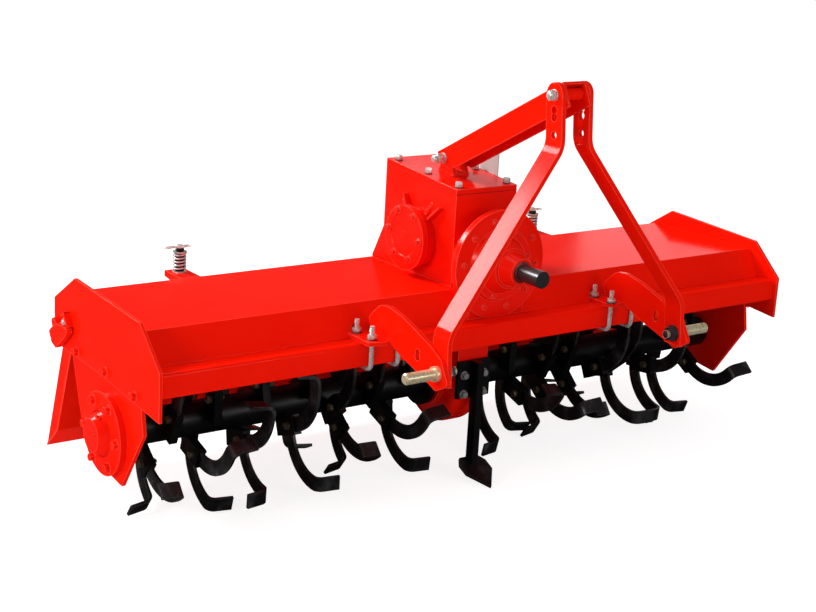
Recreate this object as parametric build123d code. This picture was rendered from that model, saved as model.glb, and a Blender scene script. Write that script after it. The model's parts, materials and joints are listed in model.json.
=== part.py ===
from build123d import *
import math
import os

# Rotary tiller for a tractor's three-point hitch: centre gearbox, one blade rotor, a folded hood,
# a hinged trailing board on two sprung rods, and a skimmer share under the gear case.
#
# Millimetres. +X is to the right seen from the front, -Y is towards the tractor, +Z is up.
# Working datum: x = 0 on the centre line, y = 0 on the front face of the beam; the ground that the
# blades and the share stand on is at z = GROUND_Z. Every piece is shifted along Y and Z on export, so
# that the origin is the middle of the footprint, on the ground.

# ---------------------------------------------------------------- clearances and fits
RUNNING = 0.05            # radial play of a shaft in its bearing bore
SEAT_GAP = 0.3            # between faces of two bodies that rest on each other
HOLE_PLAY = 0.5           # radial play of a bolt or rod in its drilled hole
NOTCH_PLAY = 3.0          # room round a part that passes through a sheet

# ---------------------------------------------------------------- driving dimensions
OVERALL_WIDTH = 2050.0    # over the outer faces of the end plates
END_PLATE = 8.0           # thickness of the end plates
BEAM_DEPTH = 56.0         # main beam, along Y
BEAM_HEIGHT = 63.0
BEAM_WALL = 5.0
BEAM_CORNER_R = 9.0
BEAM_TOP = 482.0          # height of the beam's top face
HOOD_SHEET = 4.0
HOOD_LAP = 12.0           # how far the hood reaches down behind the beam
HOOD_FOLD = (105.0, 556.0)    # (y, z) of the front fold, outer surface
HOOD_REAR = (507.0, 549.0)    # (y, z) of the rear fold, outer surface
HOOD_SKIRT_Z = 480.0      # lower edge of the rear skirt

ROTOR_Y = 268.0           # rotor axis
ROTOR_Z = 254.0
ROTOR_TUBE_R = 44.5
ROTOR_TUBE_WALL = 8.0
ROTOR_GAP = 12.0          # between the rotor and what stands beside it
ROTOR_FLANGE_T = 16.0     # flange at the inner end of each tube
JOURNAL_R = 25.0

BEARING_PLATE = 10.0      # thickness of the plates that carry the rotor bearings
FLANGE_R = 105.0
FLANGE_T = 18.0
HUB_R = (58.0, 42.0)      # at the flange, at the end
HUB_L = 29.0

CASE_HALF = 50.0          # centre gear case
CASE_R = 127.0
CASE_RIM_R = 28.0         # rounding of its two round rims
CASE_FRONT_Y = 138.0
CASE_REAR_Y = 374.0
CASE_BOSS_R = 72.0
CASE_BOSS_L = 14.0

GEARBOX_HALF = 100.5
GEARBOX_WALL = 10.0
GEARBOX_FRONT_Y = 126.0
GEARBOX_REAR_Y = 449.0
GEARBOX_FOOT_Y = 498.0    # rear edge where the casting flares out to the hood
GEARBOX_FLARE_Z = 653.0
GEARBOX_FRONT_TOP = 817.0
GEARBOX_REAR_TOP = 843.0
COVER_T = 14.0
HOSE_PLATE_Y = (212.0, 290.0)
HOSE_PLATE_TOP = 887.0
HOSE_PLATE_T = 3.0
HOSE_PLATE_LAP = 25.0     # of the plate on the side of the gearbox, below its top edge

BOSS_AXIS = (285.0, 658.0)    # (y, z) of the side bearing covers
BOSS_R = 80.0
BOSS_RIM_R = 88.0
BOSS_L = 31.5
BOSS_RIM_T = 16.0

INPUT_Z = 625.0           # power take-off axis
INPUT_RING_R = 146.0
INPUT_RING_Y = 50.0
INPUT_RING_T = 18.0
INPUT_NECK_R = 104.0
# Steps of the housing in front of the ring: near and far distance from its face, the two radii
INPUT_STEPS = ((0.0, 12.0, 100.0, 94.0), (12.0, 50.0, 76.0, 54.0), (50.0, 91.0, 46.0, 36.0))
SKIRT_HALF = 92.0
SKIRT_BACK = 5.0          # of the skirt, behind the face of the ring
SHAFT_COLLAR_R = 21.5
SPLINE_R = 17.5           # 35 mm shaft
SPLINE_W = 8.0
SPLINE_DEPTH = 3.0
SPLINE_TIP_Y = -118.0
CAP_R = 22.5
CAP_TIP_Y = -125.0
CAP_BASE_Y = -45.0

HITCH_OUTER_X = 401.5     # outer face of the hitch plates
HITCH_T = 12.0
PIN_AXIS = (-231.6, 464.8)    # (y, z) of the lower hitch pins
PIN_R = 14.0
PIN_COLLAR_R = 19.0
PIN_COLLAR_T = 11.0
PIN_L = 96.5              # from the hitch plate to the tip
PIN_SHANK_R = 11.0
PIN_NUT_R = 17.0
PIN_NUT_T = 16.0
PIN_TAIL = 12.0           # of the shank past its nut
PIN_CHAMFER = 4.0
CLIP_HOLE_R = 5.0         # for the linch clip, across the pin
CLIP_HOLE_IN = 16.0       # from the pin's tip
HITCH_SLOT = (-149.0, 488.0)  # (y, z) of the slot's middle
HITCH_SLOT_R = 9.0
HITCH_SLOT_HALF = 6.0     # half of its straight length, along Z

SADDLE_T = 10.0
SADDLE_REAR_Y = 82.0
SADDLE_OUT = (-61.5, 60.5)    # inner and outer edge, from the hitch plate's outer face
# Front edge of the saddle plate: (x from the hitch plate's outer face, y), from the inside out
SADDLE_FRONT = ((-61.5, 4), (-51.5, -16), (-37.5, -20), (1.5, -20), (6.5, -34), (16.5, -41), (60.5, -26))
UBOLT_ROD_R = 6.0
UBOLT_PLAY = 0.6          # between the rod and the beam
UBOLT_BEND_R = 16.0       # to the middle of the rod
UBOLT_OUT = (-44.5, 36.5)     # the two rods, from the hitch plate's outer face
UBOLT_NUT_R = 10.0
UBOLT_NUT_T = 10.0
UBOLT_TAIL = 34.0

MAST_BAR_T = 12.0         # along X
MAST_BAR_W = 60.0         # along Y
MAST_TOP_X = 50.0         # outer faces above the upper bend
MAST_BEND_TOP_Z = 985.0
MAST_BEND_LOW_Z = 555.0
MAST_BEND_R = 60.0        # inside of each bend
MAST_LOW_Z = 434.0
MAST_TOP_Z = 1139.0
MAST_LOW_Y = -231.0       # middle of the bar at MAST_LOW_Z
MAST_TOP_Y = -171.0       # middle of the bar at its top
LINK_PIN_R = 9.5
UPPER_HOLES = ((1071.5, 10.8), (1054.5, 10.8), (1011.0, 9.8))   # (z, r); the first two run into each other

LINK_HALF = 37.0          # top link channel
LINK_SHEET = 6.0
LINK_DEPTH = 63.0
LUG_X = (14.0, 26.0)      # inner and outer face of each ear under the top link
LUG_EAR_R = 16.5
LUG_HALF = 34.0           # half of the foot's length
LUG_PLATE = 6.0
LINK_LOW = (276.0, 870.0)     # (y, z) of its lower bolt
LINK_HIGH = (-172.0, 1108.0)  # (y, z) of its upper bolt
LINK_BOLT_TAILS = (36.0, 20.0)    # of the lower and the upper bolt, past the face that the nut is on
LINK_END = (20.0, 26.0)   # from the lower and the upper bolt to the ends of the channel
LINK_TOP = 24.0           # from the bolts' line up to the channel's back

BOARD_AXIS = (531.0, 466.0)   # (y, z) of the trailing board's hinge
BOARD_HALF = 1000.0
BOARD_SHEET = 4.0
BOARD_POINTS = ((530.0, 370.0), (615.0, 140.0), (683.0, 76.0))   # front surface, from the hinge down
BOARD_FLANGE = 45.0       # depth of the stiffening flange at each end
BOARD_TUBE_R = 14.0
PIVOT_R = 8.0
PIVOT_IN = 60.0           # of the pivot pin inside the board's tube
EAR_OUT = 20.0            # from the end plate to the outer face of the ear on the pivot
EAR_T = 15.0
EAR_EYE_R = 13.0

ROD_X = 621.6             # spring rods
ROD_Y = 665.0
ROD_FOOT_Z = 260.0
ROD_TOP_Z = 598.0
ROD_R = 7.0
BRACKET_TOP_Z = 521.0
BRACKET_SHEET = 6.0
BRACKET_DEPTH = 40.0
BRACKET_HALF = 30.0
BRACKET_REAR_Y = 695.0
ROD_SLOT_HALF = 10.0      # half of the slot's straight length, along Y
SPRING_R = 16.5           # to the middle of the wire
SPRING_WIRE_R = 2.5
SPRING_TURNS = 5
SPRING_TOP_Z = 576.0
LUG_T = 6.0               # ears behind the board
LUG_TIP_R = 14.0
LUG_FOOT_HALF = 30.0
CLIP_R = 2.0
CLIP_REACH = 29.0

CLAMP_HALF = 55.0         # plate that holds the share's shank
CLAMP_T = 10.0
CLAMP_Z = (232.0, 337.0)
SHANK_T = 20.0
SHANK_W = 30.0
SHARE_T = 8.0
SHARE_TIP_Y = 22.0
SHARE_SLOPE = 24.0        # degrees
SHARE_OUTLINE = ((0.0, 0.0), (45.0, 62.0), (45.0, 98.0), (30.0, 122.0))   # (half width, along the slope)

# Blades: a flat leg beside the tube, a curve in the plane of the leg, then a wing bent sideways
SWING_R = 254.0           # circle that the outer corners of the wings turn in
BLADE_T = 8.0
BLADE_W = 39.0
BLADE_OFFSET = 58.0       # from the rotor axis to the middle of the straight leg
BLADE_ROOT = 42.0         # start and end of the straight leg, below the axis
BLADE_STRAIGHT = 95.0
BLADE_CURVE = 77.5        # degrees
WING_BEND_R = 20.0
WING_BEND = 82.0          # degrees
WING_L = 46.0
SOCKET_T = 7.0            # cheek each side of the leg
SOCKET_W = 52.0
SOCKET_Z = (8.0, 96.0)    # start and end, below the rotor axis
# One row for each station: distance from the centre line, direction of the first blade's leg in
# degrees from straight down towards the front, and the side that its wing points to.
# The second blade of a station is opposite the first and points the other way.
STATIONS_LEFT = (
    (160, 6, 1), (221, 72, 1), (290, -25, -1), (356, 54, -1), (415, -50, 1), (473, 13, 1), (545, -70, 1),
    (616, 9, -1), (686, 97, -1), (760, -3, 1), (802, 74, 1), (882, -24, -1), (925, 53, -1),
)
STATIONS_RIGHT = (
    (180, -2, -1), (240, 73, -1), (303, -28, 1), (348, 53, 1), (391, -21, -1), (453, 48, -1), (506, -65, 1),
    (583, 130, -1), (648, 16, 1), (716, 97, 1), (787, 6, -1), (882, -8, 1), (935, 60, 1),
)

# ---------------------------------------------------------------- worked out from the above
END_X = OVERALL_WIDTH / 2
END_INNER = END_X - END_PLATE
BEARING_INNER = END_INNER - BEARING_PLATE
BEAM_BOTTOM = BEAM_TOP - BEAM_HEIGHT
ROTOR_END = BEARING_INNER - ROTOR_GAP
GROUND_Z = ROTOR_Z - SWING_R
HITCH_INNER = HITCH_OUTER_X - HITCH_T
PIN_TIP_X = HITCH_OUTER_X + PIN_L
SADDLE_X = [HITCH_OUTER_X + out for out in SADDLE_OUT]
UBOLT_X = [HITCH_OUTER_X + out for out in UBOLT_OUT]
# (y, z, corner radius)
HITCH_OUTLINE = (
    (68, 526, 22), (18, 571, 36), (-21, 575, 60), (-77, 565, 120), (-126, 550, 0), (-203, 523, 120),
    (-246, 501, 14), (-252, 487, 0), (-277, 446, 12), (-228, 419, 14), (-201, 430, 0), (-147, 446, 0),
    (-75, 467, 60), (-34, 485, 0), (-20, 492, 0), (50, 492, 0),
)
EAR_OUTLINE = ((561, 437), (545, 411), (520, 402), (460, 449), (450, 462), (452, 469), (478, 471), (524, 466))
END_OUTLINE = ((447, 600), (87, 583), (-16, 491), (-16, 370), (306, 396), (572, 402), (570, 521))
BEARING_OUTLINE = ((476, 386), (426, 244), (300, 152), (192, 140), (80, 306), (100, 420), (470, 420))
HITCH_FRONT_Y = min(y for y, z, radius in HITCH_OUTLINE)
CENTRE_Y = (HITCH_FRONT_Y + BRACKET_REAR_Y) / 2

SIDES = (("left", -1), ("right", 1))


# ---------------------------------------------------------------- shape helpers
def block(x0, x1, y0, y1, z0, z1):
    """A box between two corners, whatever their order."""
    size = (abs(x1 - x0), abs(y1 - y0), abs(z1 - z0))
    return Pos((x0 + x1) / 2, (y0 + y1) / 2, (z0 + z1) / 2) * Box(*size)


def plate_x(points, x0, x1):
    """A plate between two X planes, from its (y, z) outline."""
    face = make_face(Plane.YZ.offset(min(x0, x1)) * Polyline(*points, close=True))
    return extrude(face, amount=abs(x1 - x0), dir=(1, 0, 0))


def edge_near(shape, axis, spot):
    """The straight edges along an axis whose middle, seen along it, is within 1 mm of a spot."""
    found = []
    for e in shape.edges().filter_by(axis):
        c = e.center()
        u, v = (c.Y, c.Z) if axis == Axis.X else (c.X, c.Z)
        if math.hypot(u - spot[0], v - spot[1]) < 1:
            found.append(e)
    return found


def rounded_plate_x(corners, x0, x1):
    """A plate between two X planes, from its (y, z, corner radius) outline."""
    plate = plate_x([(y, z) for y, z, radius in corners], x0, x1)
    for y, z, radius in corners:
        if radius:
            plate = fillet(edge_near(plate, Axis.X, (y, z)), radius)
    return plate


def plate_y(points, y0, y1):
    """A plate between two Y planes, from its (x, z) outline."""
    outline = Polyline(*[(x, min(y0, y1), z) for x, z in points], close=True)
    return extrude(make_face(outline), amount=abs(y1 - y0), dir=(0, 1, 0))


def plate_z(points, z0, z1):
    """A plate between two Z planes, from its (x, y) outline."""
    outline = Polyline(*[(x, y, min(z0, z1)) for x, y in points], close=True)
    return extrude(make_face(outline), amount=abs(z1 - z0), dir=(0, 0, 1))


def rod(start, end, radius, end_radius=None):
    """A round bar, or a cone, from one point to another."""
    line = Vector(*end) - Vector(*start)
    place = Plane(origin=start, z_dir=line)
    low = (Align.CENTER, Align.CENTER, Align.MIN)
    if end_radius is None:
        return place * Cylinder(radius, line.length, align=low)
    return place * Cone(radius, end_radius, line.length, align=low)


def rod_x(x0, x1, y, z, radius, end_radius=None):
    return rod((x0, y, z), (x1, y, z), radius, end_radius)


def rod_y(y0, y1, x, z, radius, end_radius=None):
    return rod((x, y0, z), (x, y1, z), radius, end_radius)


def rod_z(z0, z1, x, y, radius, end_radius=None):
    return rod((x, y, z0), (x, y, z1), radius, end_radius)


def folded(points, thickness, side=1):
    """The closed outline of a folded sheet: the given line, and the same line moved sideways."""
    moved = []
    for i, point in enumerate(points):
        near = [(points[j], points[j + 1]) for j in (i - 1, i) if 0 <= j < len(points) - 1]
        normals = []
        for (ay, az), (by, bz) in near:
            length = math.hypot(by - ay, bz - az)
            normals.append((side * (bz - az) / length, -side * (by - ay) / length))
        ny = sum(n[0] for n in normals)
        nz = sum(n[1] for n in normals)
        scale = thickness * len(normals) / (ny * ny + nz * nz)
        moved.append((point[0] + ny * scale, point[1] + nz * scale))
    return list(points) + moved[::-1]


def mirrored(side, shape):
    """A right-hand shape as it is, or its left-hand twin."""
    return shape if side > 0 else mirror(shape, about=Plane.YZ)


# ---------------------------------------------------------------- beam, hood and end plates
def main_beam():
    outer = block(-END_INNER, END_INNER, 0, BEAM_DEPTH, BEAM_BOTTOM, BEAM_TOP)
    wall = BEAM_WALL
    inner = block(-END_X, END_X, wall, BEAM_DEPTH - wall, BEAM_BOTTOM + wall, BEAM_TOP - wall)
    return fillet(outer.edges().filter_by(Axis.X), BEAM_CORNER_R) - inner


def hood_panel():
    foot = BEAM_TOP - HOOD_LAP
    line = (
        (BEAM_DEPTH, foot), (BEAM_DEPTH, BEAM_TOP), HOOD_FOLD, HOOD_REAR, (HOOD_REAR[0], HOOD_SKIRT_Z),
    )
    sheet = plate_x(folded(line, HOOD_SHEET), -END_INNER, END_INNER)
    notch_top = BEAM_TOP + SADDLE_T + HOLE_PLAY
    nut_room = UBOLT_NUT_R + NOTCH_PLAY
    for _, side in SIDES:
        x0, x1 = (side * (SADDLE_X[0] - HOLE_PLAY), side * (SADDLE_X[1] + HOLE_PLAY))
        sheet -= block(x0, x1, BEAM_DEPTH - 1, SADDLE_REAR_Y + 9, foot - 1, notch_top)
        for x in UBOLT_X:
            sheet -= rod_z(BEAM_TOP, ubolt_top() + NOTCH_PLAY, side * x, ubolt_rear_y(), nut_room)
    return sheet


def end_plate(side):
    plate = plate_x(END_OUTLINE, END_INNER, END_X)
    plate -= rod_x(END_INNER - 1, END_X + 1, *BOARD_AXIS, PIVOT_R + RUNNING)
    return mirrored(side, plate)


def bearing_plate(side):
    plate = plate_x(BEARING_OUTLINE, BEARING_INNER, END_INNER)
    plate -= rod_x(BEARING_INNER - 1, END_INNER + 1, ROTOR_Y, ROTOR_Z, JOURNAL_R + ROTOR_GAP)
    return mirrored(side, plate)


def bearing_cover(side):
    """Flanged bearing housing on the outside of the bearing plate, blind at its outer end."""
    face = END_INNER
    cover = rod_x(face, face + FLANGE_T, ROTOR_Y, ROTOR_Z, FLANGE_R)
    cover += rod_x(face + FLANGE_T, face + FLANGE_T + HUB_L, ROTOR_Y, ROTOR_Z, *HUB_R)
    cover -= rod_x(face - 1, journal_end() + SEAT_GAP, ROTOR_Y, ROTOR_Z, JOURNAL_R + RUNNING)
    return mirrored(side, cover)


def journal_end():
    return END_INNER + FLANGE_T + HUB_L / 2


# ---------------------------------------------------------------- gearbox
def gearbox_top(y):
    """Height of the casting's sloping top, under the cover, at a place along Y."""
    slope = (GEARBOX_REAR_TOP - GEARBOX_FRONT_TOP) / (GEARBOX_REAR_Y - GEARBOX_FRONT_Y)
    return GEARBOX_FRONT_TOP - COVER_T + slope * (y - GEARBOX_FRONT_Y)


def cover_top(y):
    return gearbox_top(y) + COVER_T


def hood_top(y):
    slope = (HOOD_REAR[1] - HOOD_FOLD[1]) / (HOOD_REAR[0] - HOOD_FOLD[0])
    return HOOD_FOLD[1] + slope * (y - HOOD_FOLD[0])


def gearbox_body():
    front, rear, foot, wall = GEARBOX_FRONT_Y, GEARBOX_REAR_Y, GEARBOX_FOOT_Y, GEARBOX_WALL
    outer = (
        (front, hood_top(front)), (foot, hood_top(foot)), (foot, hood_top(foot) + wall),
        (rear, GEARBOX_FLARE_Z), (rear, gearbox_top(rear)), (front, gearbox_top(front)),
    )
    inner = (
        (front + wall, hood_top(front) + wall), (rear - wall, hood_top(front) + wall),
        (rear - wall, GEARBOX_REAR_TOP), (front + wall, GEARBOX_REAR_TOP),
    )
    body = plate_x(outer, -GEARBOX_HALF, GEARBOX_HALF)
    return body - plate_x(inner, wall - GEARBOX_HALF, GEARBOX_HALF - wall)


def gearbox_cover():
    front, rear = GEARBOX_FRONT_Y, GEARBOX_REAR_Y
    outline = (
        (front, gearbox_top(front)), (rear, gearbox_top(rear)),
        (rear, gearbox_top(rear) + COVER_T), (front, gearbox_top(front) + COVER_T),
    )
    return plate_x(outline, -GEARBOX_HALF, GEARBOX_HALF)


def gearbox_side_cover(side):
    y, z = BOSS_AXIS
    near = GEARBOX_HALF
    cover = rod_x(near, near + BOSS_L, y, z, BOSS_R)
    cover += rod_x(near + BOSS_L, near + BOSS_L + BOSS_RIM_T, y, z, BOSS_RIM_R)
    for degrees in (28, -42):
        rib = plate_y(((near, z), (near + BOSS_L - 4, z), (near, z + BOSS_R + 38)), y - 4, y + 4)
        cover += rib.rotate(Axis((0, y, z), (1, 0, 0)), degrees)
    return mirrored(side, cover)


def input_housing():
    """Stepped round housing in front of the gearbox, with a skirt that stands on beam and hood."""
    ring, back, z = INPUT_RING_Y, GEARBOX_FRONT_Y, INPUT_Z
    shape = rod_y(ring, ring + INPUT_RING_T, 0, z, INPUT_RING_R)
    shape += rod_y(ring + INPUT_RING_T, back, 0, z, INPUT_NECK_R)
    for near, far, radius, end_radius in INPUT_STEPS:
        shape += rod_y(ring - near, ring - far, 0, z, radius, end_radius)
    half = SKIRT_HALF
    shape += plate_y(((-half, BEAM_TOP), (half, BEAM_TOP), (half, z), (-half, z)), ring + SKIRT_BACK, back)
    below = (
        (-END_X, BEAM_TOP), (BEAM_DEPTH, BEAM_TOP), HOOD_FOLD, (back + 1, hood_top(back + 1)), (back + 1, 0),
        (-END_X, 0),
    )
    shape -= plate_x(below, -INPUT_RING_R - 9, INPUT_RING_R + 9)
    return shape - rod_y(ring - 200, back + 9, 0, z, SHAFT_COLLAR_R + RUNNING)


def centre_gear_case():
    """Drop case round the rotor shaft, with a bearing boss on each side."""
    top = hood_top(CASE_REAR_Y) - HOOD_SHEET - 1
    disc = rod_x(-CASE_HALF, CASE_HALF, ROTOR_Y, ROTOR_Z, CASE_R)
    disc = fillet(disc.edges().filter_by(GeomType.CIRCLE), CASE_RIM_R)
    column = block(-CASE_HALF, CASE_HALF, CASE_FRONT_Y, CASE_REAR_Y, ROTOR_Z, top)
    case = disc + column
    case -= block(-CASE_HALF, CASE_HALF, ROTOR_Y - 2 * CASE_R, CASE_FRONT_Y, 0, top)
    reach = CASE_HALF + CASE_BOSS_L
    case += rod_x(-reach, reach, ROTOR_Y, ROTOR_Z, CASE_BOSS_R)
    return case - rod_x(-reach - 1, reach + 1, ROTOR_Y, ROTOR_Z, JOURNAL_R + RUNNING)


def input_shaft():
    shaft = rod_y(SPLINE_TIP_Y, GEARBOX_FRONT_Y - 12, 0, INPUT_Z, SPLINE_R)
    shape = shaft + rod_y(CAP_BASE_Y + SEAT_GAP, GEARBOX_FRONT_Y - 12, 0, INPUT_Z, SHAFT_COLLAR_R)
    low, high = INPUT_Z + SPLINE_R - SPLINE_DEPTH, INPUT_Z + SPLINE_R + 2
    groove = block(-SPLINE_W / 2, SPLINE_W / 2, SPLINE_TIP_Y - 1, CAP_BASE_Y, low, high)
    for i in range(6):
        shape -= groove.rotate(Axis((0, 0, INPUT_Z), (0, 1, 0)), 60 * i)
    return shape


def shaft_cap():
    cap = rod_y(CAP_BASE_Y, CAP_TIP_Y, 0, INPUT_Z, CAP_R)
    return cap - rod_y(CAP_BASE_Y + 1, SPLINE_TIP_Y, 0, INPUT_Z, SPLINE_R + RUNNING)


def hose_bracket():
    """A small bare plate on the right-hand side of the gearbox, standing above its cover."""
    y0, y1 = HOSE_PLATE_Y
    foot = gearbox_top(y0) - HOSE_PLATE_LAP
    outline = ((y0, foot), (y1, foot), (y1, HOSE_PLATE_TOP), (y0, HOSE_PLATE_TOP))
    return plate_x(outline, GEARBOX_HALF, GEARBOX_HALF + HOSE_PLATE_T)


# ---------------------------------------------------------------- three-point hitch
def hitch_plate(side):
    x0, x1 = HITCH_INNER - 1, HITCH_OUTER_X + 1
    y, z = HITCH_SLOT
    r, half = HITCH_SLOT_R, HITCH_SLOT_HALF
    plate = rounded_plate_x(HITCH_OUTLINE, HITCH_INNER, HITCH_OUTER_X)
    plate -= rod_x(x0, x1, *PIN_AXIS, PIN_SHANK_R + RUNNING)
    slot = block(x0, x1, y - r, y + r, z - half, z + half)
    for dz in (-half, half):
        slot += rod_x(x0, x1, y, z + dz, r)
    return mirrored(side, plate - slot)


def hitch_pin(side):
    """Shouldered pin: free end outside the plate, shank through plate and mast bar, nut inside."""
    face, tip = HITCH_OUTER_X, PIN_TIP_X
    inner = HITCH_INNER - MAST_BAR_T
    y, z = PIN_AXIS
    pin = rod_x(face, face + PIN_COLLAR_T, y, z, PIN_COLLAR_R)
    pin += rod_x(face + PIN_COLLAR_T, tip - PIN_CHAMFER, y, z, PIN_R)
    pin += rod_x(tip - PIN_CHAMFER, tip, y, z, PIN_R, PIN_R - PIN_CHAMFER)
    pin += rod_x(inner - PIN_NUT_T - PIN_TAIL, face, y, z, PIN_SHANK_R)
    pin += rod_x(inner - PIN_NUT_T, inner, y, z, PIN_NUT_R)
    pin -= rod_z(z - 2 * PIN_R, z + 2 * PIN_R, tip - CLIP_HOLE_IN, y, CLIP_HOLE_R)
    return mirrored(side, pin)


def saddle_plate(side):
    """Flat plate on the beam under each hitch plate, with its front corners cut off."""
    x0, x1 = SADDLE_X
    front = [(HITCH_OUTER_X + out, y) for out, y in SADDLE_FRONT]
    plate = plate_z([*front, (x1, SADDLE_REAR_Y), (x0, SADDLE_REAR_Y)], BEAM_TOP, BEAM_TOP + SADDLE_T)
    for x in UBOLT_X:
        for y in (ubolt_front_y(), ubolt_rear_y()):
            plate -= rod_z(BEAM_TOP - 1, BEAM_TOP + SADDLE_T + 1, x, y, UBOLT_ROD_R + HOLE_PLAY)
    return mirrored(side, plate)


def ubolt_front_y():
    return -UBOLT_ROD_R - UBOLT_PLAY


def ubolt_rear_y():
    return BEAM_DEPTH + UBOLT_ROD_R + UBOLT_PLAY


def ubolt_top():
    return BEAM_TOP + SADDLE_T + UBOLT_TAIL


def u_bolts(side):
    """Two U-bolts round the beam, with a nut on each of their four ends."""
    front, rear, r = ubolt_front_y(), ubolt_rear_y(), UBOLT_ROD_R
    low, top, seat_z = BEAM_BOTTOM - r - UBOLT_PLAY, ubolt_top(), BEAM_TOP + SADDLE_T
    bolts = Part()
    for x in UBOLT_X:
        corners = ((x, front, top), (x, front, low), (x, rear, low), (x, rear, top))
        line = FilletPolyline(*corners, radius=UBOLT_BEND_R)
        shape = sweep(Plane(origin=(x, front, top), z_dir=(0, 0, -1)) * Circle(r), path=line)
        for y in (front, rear):
            shape += rod_z(seat_z, seat_z + UBOLT_NUT_T, x, y, UBOLT_NUT_R)
        bolts += shape
    return mirrored(side, bolts)


def mast_line():
    """Outer face of the right-hand mast bar as (x, z) points, from the bottom up."""
    low = HITCH_INNER
    high = MAST_TOP_X
    return ((low, MAST_LOW_Z), (low, MAST_BEND_LOW_Z), (high, MAST_BEND_TOP_Z), (high, MAST_TOP_Z))


def mast_outline():
    """(x, z) outline of the bent bar, with its two bends still sharp."""
    return folded(mast_line(), MAST_BAR_T, side=-1)


def mast_bends(bar):
    """The bar with its bends rounded: inside by MAST_BEND_R, outside by that and the bar's thickness."""
    outline = mast_outline()
    for index, outside in ((1, True), (2, False), (5, True), (6, False)):
        radius = MAST_BEND_R + (MAST_BAR_T if outside else 0)
        bar = fillet(edge_near(bar, Axis.Y, outline[index]), radius)
    return bar


def mast_bar(side):
    """Flat bar bent twice about Y, leaning slightly back, with a rounded top and three holes."""
    deep = plate_y(mast_outline(), MAST_LOW_Y - MAST_BAR_W, MAST_TOP_Y + MAST_BAR_W)
    half = MAST_BAR_W / 2
    r = half
    lean = (
        (MAST_LOW_Y - half, MAST_LOW_Z), (MAST_LOW_Y + half, MAST_LOW_Z),
        (MAST_TOP_Y + half, MAST_TOP_Z - r), (MAST_TOP_Y - half, MAST_TOP_Z - r),
    )
    profile = plate_x(lean, 0, END_X) + rod_x(0, END_X, MAST_TOP_Y, MAST_TOP_Z - r, r)
    bar = mast_bends(deep) & profile
    bar -= rod_x(0, MAST_TOP_X + 9, *LINK_HIGH, LINK_PIN_R + HOLE_PLAY)
    for z, radius in UPPER_HOLES:
        bar -= rod_x(0, MAST_TOP_X + 9, mast_y(z), z, radius)
    bar -= rod_x(MAST_TOP_X + 20, END_X, *PIN_AXIS, PIN_SHANK_R + RUNNING)
    return mirrored(side, bar)


def mast_y(z):
    """Middle of the mast bar along Y at a height."""
    share = (z - MAST_LOW_Z) / (MAST_TOP_Z - MAST_BAR_W / 2 - MAST_LOW_Z)
    return MAST_LOW_Y + share * (MAST_TOP_Y - MAST_LOW_Y)


def link_direction():
    dy = LINK_HIGH[0] - LINK_LOW[0]
    dz = LINK_HIGH[1] - LINK_LOW[1]
    length = math.hypot(dy, dz)
    return dy / length, dz / length


def link_point(bolt, along, up):
    """(y, z) of a point given from one of the link's bolts: along the link, and square to it."""
    uy, uz = link_direction()
    return bolt[0] + uy * along + uz * up, bolt[1] + uz * along - uy * up


def top_link():
    """Channel open underneath, from the gearbox to the mast, with a bolt through each end."""
    low, high = LINK_END
    up, down = LINK_TOP, LINK_TOP - LINK_DEPTH
    flange = (
        link_point(LINK_LOW, -low, up), link_point(LINK_HIGH, high, up), link_point(LINK_HIGH, high, down),
        link_point(LINK_LOW, low, down), link_point(LINK_LOW, -low, -LINK_PIN_R),
    )
    far = 2 * LINK_DEPTH
    room = (
        link_point(LINK_LOW, -far, up - LINK_SHEET), link_point(LINK_HIGH, far, up - LINK_SHEET),
        link_point(LINK_HIGH, far, down - far), link_point(LINK_LOW, -far, down - far),
    )
    channel = plate_x(flange, -LINK_HALF, LINK_HALF)
    channel -= plate_x(room, LINK_SHEET - LINK_HALF, LINK_HALF - LINK_SHEET)
    for axis in (LINK_LOW, LINK_HIGH):
        channel -= rod_x(-LINK_HALF - 1, LINK_HALF + 1, *axis, LINK_PIN_R + HOLE_PLAY)
    return channel


def top_link_lug():
    """Two ears on the gearbox cover, between the flanges of the top link."""
    y, z = LINK_LOW
    ends = [(y + dy, cover_top(y + dy)) for dy in (LUG_HALF, -LUG_HALF)]
    foot = ends + [(y - LUG_HALF, ends[1][1] + LUG_PLATE), (y + LUG_HALF, ends[0][1] + LUG_PLATE)]
    lug = plate_x(foot, -LUG_X[1], LUG_X[1])
    for side in (-1, 1):
        x0, x1 = side * LUG_X[0], side * LUG_X[1]
        ear = plate_x(ends + [(y - LUG_EAR_R, z), (y + LUG_EAR_R, z)], x0, x1)
        lug += ear + rod_x(x0, x1, y, z, LUG_EAR_R)
    return lug - rod_x(-LINK_HALF, LINK_HALF, y, z, LINK_PIN_R + HOLE_PLAY)


def cross_bolt(y, z, reach, tail):
    """Bolt along X with a nut on the left and a head on the right, outside a given half width."""
    bolt = rod_x(-reach - tail, reach + 14, y, z, LINK_PIN_R)
    bolt += rod_x(-reach - 12, -reach, y, z, 15)
    return bolt + rod_x(reach, reach + 14, y, z, 15)


def mast_spacer():
    """Tube round the upper bolt, inside the top link."""
    half = LINK_HALF - LINK_SHEET
    return rod_x(-half, half, *LINK_HIGH, 15) - rod_x(-half - 1, half + 1, *LINK_HIGH, LINK_PIN_R + HOLE_PLAY)


# ---------------------------------------------------------------- share under the gear case
def shank_clamp():
    front = CASE_FRONT_Y - CLAMP_T
    plate = block(-CLAMP_HALF, CLAMP_HALF, front, CASE_FRONT_Y, *CLAMP_Z)
    return plate


def share_height(y):
    """Top surface of the share at a place along Y."""
    lift = SHARE_T / math.cos(math.radians(SHARE_SLOPE))
    return lift + (y - SHARE_TIP_Y) * math.tan(math.radians(SHARE_SLOPE))


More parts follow.
